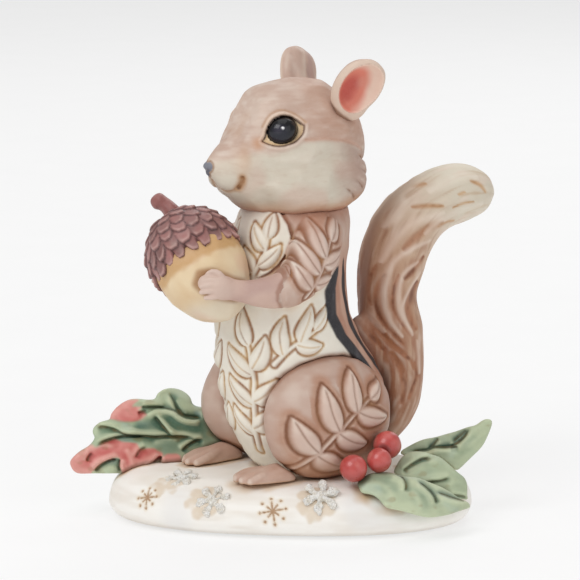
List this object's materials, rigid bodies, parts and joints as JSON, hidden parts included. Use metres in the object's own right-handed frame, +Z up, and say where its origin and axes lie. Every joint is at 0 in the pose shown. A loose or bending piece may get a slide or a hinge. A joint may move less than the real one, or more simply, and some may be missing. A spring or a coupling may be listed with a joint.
{
  "type": "chipmunk figurine",
  "caption": "Painted cast-resin chipmunk sitting upright on an oval snow mound, holding an acorn, with an oak leaf and a holly sprig at its sides.",
  "frame": {"origin": "middle of the flat felt face that the figurine stands on", "axes": "+Z up, X along the long side of the oval mound, and the holly berries towards -Y; the chipmunk looks towards -X and -Y"},
  "size_m": [0.1074, 0.0693, 0.1185],
  "materials": {
    "snow": "matte",
    "felt": "matte",
    "fur": "matte",
    "belly": "matte",
    "eye": "gloss",
    "nut": "satin",
    "cap": "satin",
    "leaf": "satin",
    "berry": "satin",
    "glitter": "satin"
  },
  "bodies": {
    "root": {"snow_mound": "snow", "felt_pad": "felt", "torso": "belly", "head": "fur", "ear_left": "fur", "ear_right": "fur", "eye_left": "eye", "eye_right": "eye", "arm_left": "fur", "arm_right": "fur", "haunch_left": "fur", "haunch_right": "fur", "foot_left": "fur", "foot_right": "fur", "tail": "fur", "acorn_nut": "nut", "acorn_cap": "cap", "acorn_stem": "cap", "oak_leaf": "leaf", "holly_leaf_front": "leaf", "holly_leaf_middle": "leaf", "holly_leaf_back": "leaf", "berry_1": "berry", "berry_2": "berry", "berry_3": "berry", "snowflake_1": "glitter", "snowflake_2": "glitter", "snowflake_3": "glitter", "snowflake_4": "glitter"}
  },
  "joints": []
}
